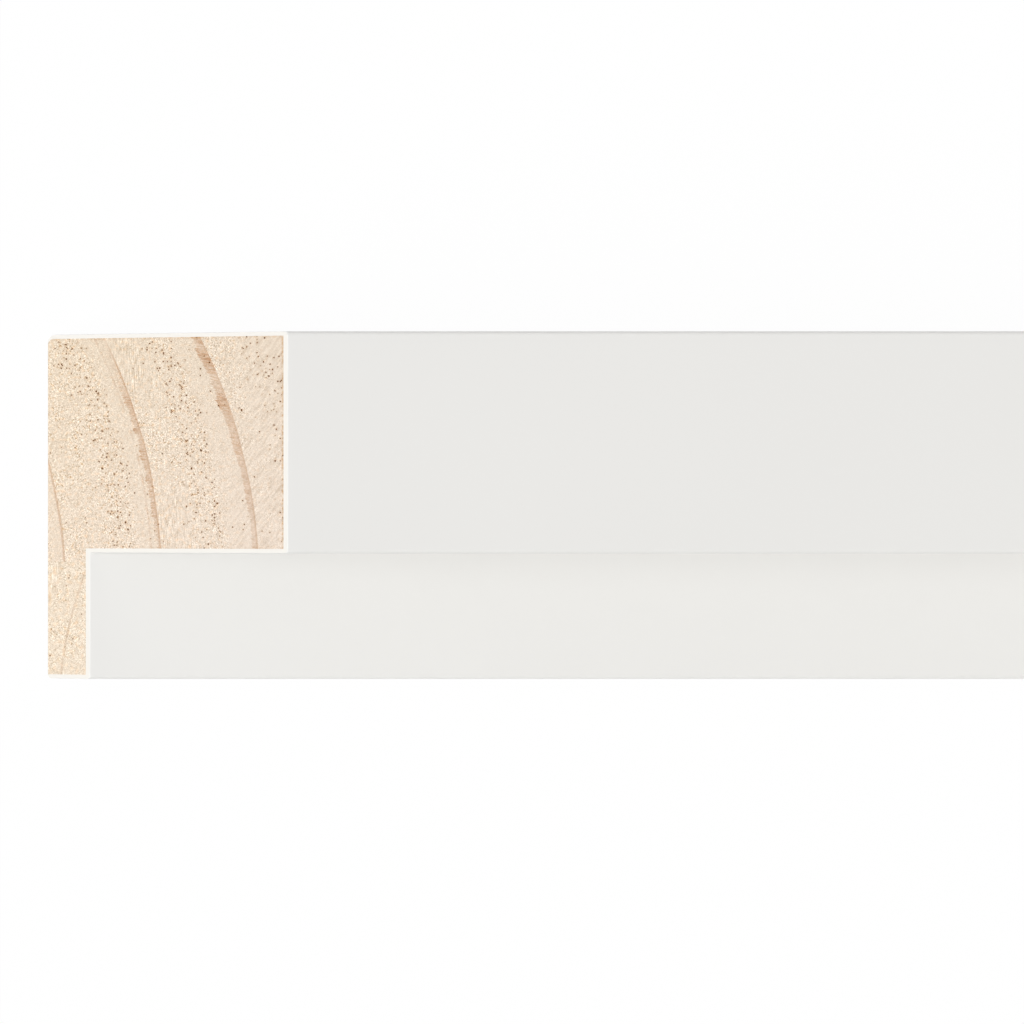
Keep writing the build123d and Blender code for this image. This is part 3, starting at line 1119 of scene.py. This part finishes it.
def bake_map(piece):
    """Add the UV map: sawn ends seen along the stock, long faces as strips."""
    mesh = piece.data
    place = np.empty(len(mesh.vertices) * 3, np.float32)
    mesh.vertices.foreach_get("co", place)
    vertex = np.empty(len(mesh.loops), np.int32)
    mesh.loops.foreach_get("vertex_index", vertex)
    sides = np.empty(len(mesh.polygons), np.int32)
    mesh.polygons.foreach_get("loop_total", sides)
    corner = place.reshape(-1, 3)[vertex] * MM
    face = np.repeat(np.arange(len(sides)), sides)

    middle = np.bincount(face, corner[:, 0]) / sides
    height = corner[:, 2].max()
    mitre = middle < tip_x + mitre_slope * height + NEAR_END
    square = middle > tip_x + length - NEAR_END
    low, high = corner.min(0), corner.max(0)
    x, y, z = ((corner - low) / (high - low)).T
    u = np.where(mitre[face], MARGIN + y * (SPLIT_U - 2 * MARGIN), SPLIT_U + y * (1 - SPLIT_U - MARGIN))
    v = SPLIT_V + z * (1 - SPLIT_V - MARGIN)

    # Long faces: the corners that share the first corner's place in the section, then the others.
    long = ~(mitre | square)
    first = corner[np.cumsum(sides) - sides]
    apart = np.hypot(corner[:, 1] - first[face, 1], corner[:, 2] - first[face, 2])
    width = np.where(long, np.maximum.reduceat(apart, np.cumsum(sides) - sides), 0)
    end = np.cumsum(width) / width.sum()
    start = end - width / width.sum()
    strip = np.where(apart < WELD, start[face], end[face])
    u = np.where(long[face], MARGIN + x * (1 - 2 * MARGIN), u)
    v = np.where(long[face], MARGIN + strip * (SPLIT_V - 2 * MARGIN), v)
    layer = mesh.uv_layers.new(name="OFBake")
    layer.data.foreach_set("uv", np.stack([u, v], 1).astype(np.float32).ravel())
    print(piece.name, int(mitre.sum()), "faces on the mitre,", int(square.sum()), "on the square end")


for piece in (white_coat, ledge_block_pine, lip_strip_pine):
    bake_map(piece)

# %% [markdown]
# ## Onto the frame
# Nothing moves, so every piece rides on the one body. The pine strips stand for their own solids, and
# the coat stands for the skin of both.

# %% Pieces on the frame
for piece, nodes, slot in (
    (white_coat, ("ledge_block", "lip_strip"), "white_coated_pine"),
    (ledge_block_pine, ("ledge_block",), "bare_pine"),
    (lip_strip_pine, ("lip_strip",), "bare_pine"),
):
    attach(piece, "root")
    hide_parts(*nodes)
    print(piece.name, "stands for", " and ".join(nodes))


# %% [markdown]
# ## Floor, room and light
# The stick was lit softly on a white ground: a large key lamp from the front left, above the mitred
# end, a weak fill lamp from the rear left, and the light of a white room from everywhere. The key
# comes from the left, so the mitre is brighter than the faces, and from the front, so the ledge throws
# some light back onto the lip. Two wide suns do this evenly along all of the stick. What the camera
# sees of the floor is mostly its own white, and the rest is lit paint, so a faint shadow stays.

# %% White floor
FLOOR_SIZE = 60.0  # m, so that low views end on it
FLOOR_WHITE = 0.97  # the share of the floor that is white by itself, where it is seen


def seen_by_camera(tree):
    """Nodes for 1 where a ray comes from the camera, a reflection or glass, and 0 for other rays."""
    path = add(tree, "ShaderNodeLightPath").outputs
    seen = path["Is Camera Ray"]
    for ray in ("Is Glossy Ray", "Is Transmission Ray"):
        seen = add(tree, "ShaderNodeMath", {0: seen, 1: path[ray]}, operation="MAXIMUM")
    return seen


def pale_floor():
    """White studio floor: seen as nearly plain white, with the object's faint shadow."""
    material, tree, shader = new_finish("white_studio_floor", {})
    tree.nodes.remove(shader)
    seen = seen_by_camera(tree)
    part = add(tree, "ShaderNodeMath", {0: seen, 1: FLOOR_WHITE}, operation="MULTIPLY")
    paint = add(tree, "ShaderNodeBsdfDiffuse", {"Color": linear("#FAFAFA")})
    glow = add(tree, "ShaderNodeEmission", {"Strength": 1.0})
    both = add(tree, "ShaderNodeMixShader", {0: part, 1: paint, 2: glow})
    tree.links.new(both.outputs[0], tree.nodes["Material Output"].inputs["Surface"])
    return material


bpy.ops.mesh.primitive_plane_add(size=FLOOR_SIZE)
floor = bpy.context.object
floor.name = "floor"
floor.data.materials.append(pale_floor())
print("floor", FLOOR_SIZE, "m wide")

# %% White room
AMBIENT = 0.324  # the light of the room, against the white that the camera sees of it

world = bpy.data.worlds.new("soft_white_room")
bpy.context.scene.world = world
world.use_nodes = True
room = world.node_tree
seen = seen_by_camera(room)
strength = add(room, "ShaderNodeMapRange", {"Value": seen, "To Min": AMBIENT, "To Max": 1.0})
room.links.new(strength.outputs[0], room.nodes["Background"].inputs["Strength"])
room.nodes["Background"].inputs["Color"].default_value = (1, 1, 1, 1)
print("room light", AMBIENT)

# %% Key and fill
LAMP_HEIGHT = radians(50)  # above the floor


def lamp(name, energy, turn, softness):
    """A wide, soft sun off the mitred end, turned from -X towards the front, as wide as softness says."""
    data = bpy.data.lights.new(name, "SUN")
    data.energy = energy
    data.angle = softness
    made = bpy.data.objects.new(name, data)
    level = cos(LAMP_HEIGHT)
    towards = Vector((-cos(turn) * level, -sin(turn) * level, sin(LAMP_HEIGHT)))
    made.rotation_euler = towards.to_track_quat("Z", "Y").to_euler()
    bpy.context.scene.collection.objects.link(made)
    print(name, "shines from", [round(part, 2) for part in towards])


lamp("key", energy=2.09, turn=radians(25), softness=radians(49))
lamp("fill", energy=0.62, turn=radians(-40), softness=radians(90))
bpy.context.scene.view_settings.view_transform = "Standard"
